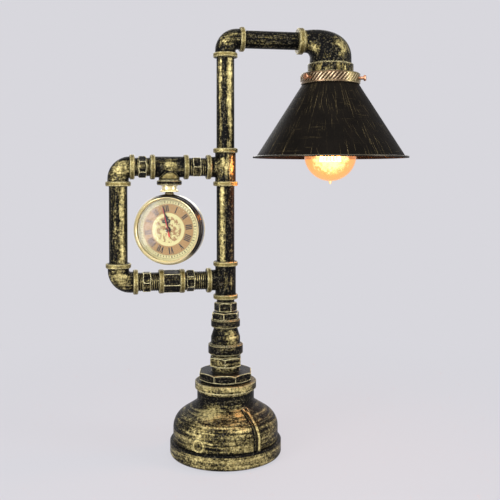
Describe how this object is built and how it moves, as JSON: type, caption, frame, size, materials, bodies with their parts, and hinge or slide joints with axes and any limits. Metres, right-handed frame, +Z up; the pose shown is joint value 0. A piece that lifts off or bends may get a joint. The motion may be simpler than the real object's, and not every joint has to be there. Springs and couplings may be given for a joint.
{
  "type": "industrial pipe table lamp",
  "caption": "Table lamp of screwed pipe fittings on a round cast base, with a swinging arm, a cone shade and a hanging swivel clock in a pipe loop.",
  "frame": {"origin": "on the table, at the centre of the foot pad under the column's axis", "axes": "+X along the arm toward the shade, -Y is the front, +Z up the column"},
  "size_m": [0.3657, 0.19, 0.5112],
  "materials": {
    "aged_iron": "black with rubbed antique gold",
    "aged_pipe": "black with rubbed antique gold streaks",
    "plain_steel": "zinc plated",
    "black_rubber": "matte",
    "black_plastic": "moulded, satin",
    "white_plastic": "moulded, matte",
    "lead_rubber": "matte cable sheath",
    "antique_brass": "antique copper brass, knurled",
    "contact_brass": "bright",
    "shade_enamel": "satin black with gold scratches",
    "amber_glass": "clear amber, glowing",
    "black_glass": "glossy",
    "solder": "dull solder",
    "clear_glass": "clear",
    "glowing_filament": "glowing",
    "polished_gold": "polished gold",
    "crystal_glass": "clear",
    "dial_card": "printed beige and tan",
    "hand_black": "satin black",
    "hand_red": "red"
  },
  "bodies": {
    "stand": {"base_casting": "aged_iron", "base_cover": "plain_steel", "foot_pad": "black_rubber", "cover_screws": "plain_steel", "cord_bushing": "black_plastic", "terminal_block": "white_plastic", "octagon_bushing": "aged_iron", "lower_nipple": "aged_iron", "bell_reducer": "aged_iron", "hex_bushing": "aged_iron", "column_nipple": "aged_iron", "lower_tee": "aged_iron", "column_pipe_lower": "aged_pipe", "upper_tee": "aged_iron", "column_pipe_upper": "aged_pipe", "top_nipple_inner": "aged_iron", "clock_tee": "aged_iron", "top_nipple_outer": "aged_iron", "top_elbow": "aged_iron", "left_pipe": "aged_pipe", "bottom_elbow": "aged_iron", "bottom_nipple_outer": "aged_iron", "hex_coupling": "aged_iron", "bottom_nipple_inner": "aged_iron", "clock_hanger": "antique_brass", "column_lead": "lead_rubber"},
    "arm": {"arm_elbow": "aged_iron", "arm_pipe": "aged_pipe", "arm_lead": "lead_rubber"},
    "head": {"drop_elbow": "aged_iron", "holder_bridge": "plain_steel", "holder_nipple": "plain_steel", "socket_body": "black_plastic", "socket_shell": "contact_brass", "socket_contact": "contact_brass", "shade_ring": "black_plastic", "shade_gallery": "antique_brass", "lamp_shade": "shade_enamel", "head_lead": "lead_rubber"},
    "thumb_1": {"thumbscrew_1": "antique_brass"},
    "thumb_2": {"thumbscrew_2": "antique_brass"},
    "thumb_3": {"thumbscrew_3": "antique_brass"},
    "bulb": {"bulb_glass": "amber_glass", "bulb_cap": "contact_brass", "bulb_insulator": "black_glass", "bulb_contact": "solder", "bulb_stem": "clear_glass", "bulb_filament": "glowing_filament"},
    "clock": {"clock_pendant": "polished_gold", "pendant_nut": "contact_brass", "clock_case": "polished_gold", "clock_bezel": "polished_gold", "clock_crystal": "crystal_glass", "clock_dial": "dial_card", "clock_movement": "black_plastic", "clock_back": "polished_gold"},
    "minute": {"minute_hand": "hand_black"},
    "hour": {"hour_hand": "hand_black"},
    "second": {"second_hand": "hand_red"},
    "knob": {"set_knob": "black_plastic"}
  },
  "joints": [
    {"name": "arm_swing", "type": "hinge", "parent": "stand", "child": "arm", "pos_m": [0, 0, 0.4952], "axis": [0, 0, 1], "range_deg": [-90, 90]},
    {"name": "head_tilt", "type": "hinge", "parent": "arm", "child": "head", "pos_m": [0.1, 0, 0.4952], "axis": [1, 0, 0], "range_deg": [-45, 45]},
    {"name": "bulb_unscrew", "type": "slide", "parent": "head", "child": "bulb", "axis": [0, 0, -1], "range_m": [0, 0.03]},
    {"name": "clock_swivel", "type": "hinge", "parent": "stand", "child": "clock", "pos_m": [-0.0669, 0, 0.2694], "axis": [0, 0, 1], "range_deg": [-90, 90]},
    {"name": "minute_turn", "type": "hinge", "parent": "clock", "child": "minute", "pos_m": [-0.0669, 0, 0.2694], "axis": [0.3256, 0.9455, 0], "continuous": true},
    {"name": "hour_turn", "type": "hinge", "parent": "clock", "child": "hour", "pos_m": [-0.0669, 0, 0.2694], "axis": [0.3256, 0.9455, 0], "continuous": true},
    {"name": "second_turn", "type": "hinge", "parent": "clock", "child": "second", "pos_m": [-0.0669, 0, 0.2694], "axis": [0.3256, 0.9455, 0], "continuous": true},
    {"name": "knob_turn", "type": "hinge", "parent": "clock", "child": "knob", "pos_m": [-0.0669, 0, 0.2814], "axis": [0.3256, 0.9455, 0], "continuous": true},
    {"name": "thumb_1_back_off", "type": "slide", "parent": "head", "child": "thumb_1", "axis": [-0.866, -0.5, 0], "range_m": [0, 0.004]},
    {"name": "thumb_2_back_off", "type": "slide", "parent": "head", "child": "thumb_2", "axis": [0.866, -0.5, 0], "range_m": [0, 0.004]},
    {"name": "thumb_3_back_off", "type": "slide", "parent": "head", "child": "thumb_3", "axis": [0, 1, 0], "range_m": [0, 0.004]}
  ],
  "couplings": [
    {"joint": "knob_turn", "follows": "minute_turn", "ratio": -0.33333},
    {"joint": "hour_turn", "follows": "minute_turn", "ratio": 0.083333}
  ]
}
